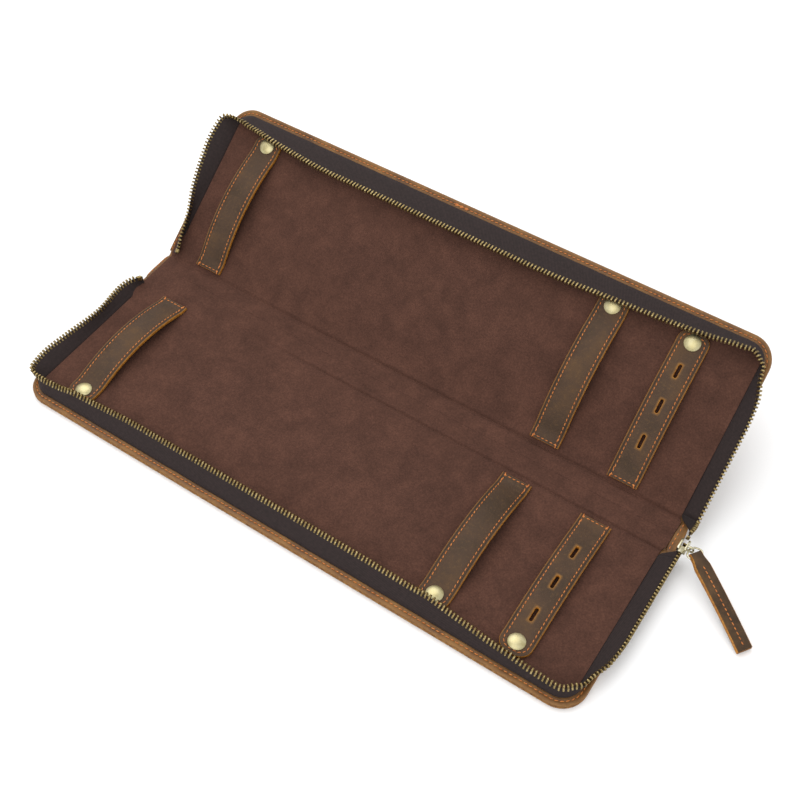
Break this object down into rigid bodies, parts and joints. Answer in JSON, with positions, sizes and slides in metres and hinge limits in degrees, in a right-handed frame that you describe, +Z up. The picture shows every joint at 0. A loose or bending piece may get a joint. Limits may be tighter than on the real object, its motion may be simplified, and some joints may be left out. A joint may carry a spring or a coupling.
{
  "type": "tie travel case",
  "caption": "Long zip-around leather case for neckties, folding shut at a wide spine, with snap-down keeper straps and slotted stud straps in its suede-lined halves.",
  "frame": {"origin": "centre of the front half's underside, on the surface that the case lies on", "axes": "+X along the case towards the zip slider, +Y from the front half to the spine and the back half, +Z up"},
  "size_m": [0.4684, 0.2411, 0.0745],
  "materials": {
    "cover_leather": "waxed, matt",
    "strap_leather": "waxed, satin",
    "stiffener_board": "bonded fibre board",
    "suede_lining": "napped suede",
    "zip_tape": "woven tape",
    "antique_brass": "antiqued",
    "snap_brass": "polished, pale",
    "slider_metal": "polished, pale"
  },
  "bodies": {
    "front_half": {"front_cover": "cover_leather", "front_board": "stiffener_board", "front_lining": "suede_lining", "front_rim": "cover_leather", "front_zip_tape": "zip_tape", "front_zip_teeth": "antique_brass", "front_zip_stop": "antique_brass", "front_strap_ends": "strap_leather", "front_snap_studs": "snap_brass"},
    "spine": {"spine_cover": "cover_leather", "spine_board": "stiffener_board", "spine_lining": "suede_lining", "spine_facings": "cover_leather"},
    "back_half": {"back_cover": "cover_leather", "back_board": "stiffener_board", "back_lining": "suede_lining", "back_rim": "cover_leather", "back_zip_tape": "zip_tape", "back_zip_teeth": "antique_brass", "back_zip_stop": "antique_brass", "back_strap_ends": "strap_leather", "back_snap_studs": "snap_brass"},
    "front_left_strap": {"front_left_strap": "strap_leather", "front_left_strap_cap": "snap_brass", "front_left_strap_socket": "snap_brass"},
    "front_right_strap": {"front_right_strap": "strap_leather", "front_right_strap_cap": "snap_brass", "front_right_strap_socket": "snap_brass"},
    "front_slotted_strap": {"front_slotted_strap": "strap_leather", "front_slotted_strap_cap": "snap_brass", "front_slotted_strap_socket": "snap_brass"},
    "back_left_strap": {"back_left_strap": "strap_leather", "back_left_strap_cap": "snap_brass", "back_left_strap_socket": "snap_brass"},
    "back_right_strap": {"back_right_strap": "strap_leather", "back_right_strap_cap": "snap_brass", "back_right_strap_socket": "snap_brass"},
    "back_slotted_strap": {"back_slotted_strap": "strap_leather", "back_slotted_strap_cap": "snap_brass", "back_slotted_strap_socket": "snap_brass"},
    "zip_slider": {"zip_slider": "slider_metal"},
    "zip_pull": {"pull_link": "slider_metal", "pull_tab": "strap_leather"}
  },
  "joints": [
    {"name": "spine_fold", "type": "hinge", "parent": "front_half", "child": "spine", "pos_m": [0, 0.059, 0], "axis": [-1, 0, 0], "range_deg": [-90, 0]},
    {"name": "lid_fold", "type": "hinge", "parent": "spine", "child": "back_half", "pos_m": [0, 0.086, 0], "axis": [-1, 0, 0], "range_deg": [-54.5, 35.5]},
    {"name": "front_left_strap_lift", "type": "hinge", "parent": "front_half", "child": "front_left_strap", "pos_m": [-0.165, 0.0466, 0.0062], "axis": [-1, 0, 0], "range_deg": [0, 95]},
    {"name": "front_right_strap_lift", "type": "hinge", "parent": "front_half", "child": "front_right_strap", "pos_m": [0.1, 0.0466, 0.0062], "axis": [-1, 0, 0], "range_deg": [0, 95]},
    {"name": "front_slotted_strap_lift", "type": "hinge", "parent": "front_half", "child": "front_slotted_strap", "pos_m": [0.1535, 0.0466, 0.0062], "axis": [-1, 0, 0], "range_deg": [0, 95]},
    {"name": "back_left_strap_lift", "type": "hinge", "parent": "back_half", "child": "back_left_strap", "pos_m": [-0.165, 0.09249, 0.01225], "axis": [1, 0, 0], "range_deg": [0, 95]},
    {"name": "back_right_strap_lift", "type": "hinge", "parent": "back_half", "child": "back_right_strap", "pos_m": [0.1, 0.09249, 0.01225], "axis": [1, 0, 0], "range_deg": [0, 95]},
    {"name": "back_slotted_strap_lift", "type": "hinge", "parent": "back_half", "child": "back_slotted_strap", "pos_m": [0.1535, 0.09249, 0.01225], "axis": [1, 0, 0], "range_deg": [0, 95]},
    {"name": "slider_travel", "type": "slide", "parent": "front_half", "child": "zip_slider", "axis": [0, 1, 0], "range_m": [-0.06, 0]},
    {"name": "pull_swing", "type": "hinge", "parent": "zip_slider", "child": "zip_pull", "pos_m": [0.2105, 0.0625, 0.0135], "axis": [0, 0, 1], "range_deg": [-12, 80]}
  ]
}
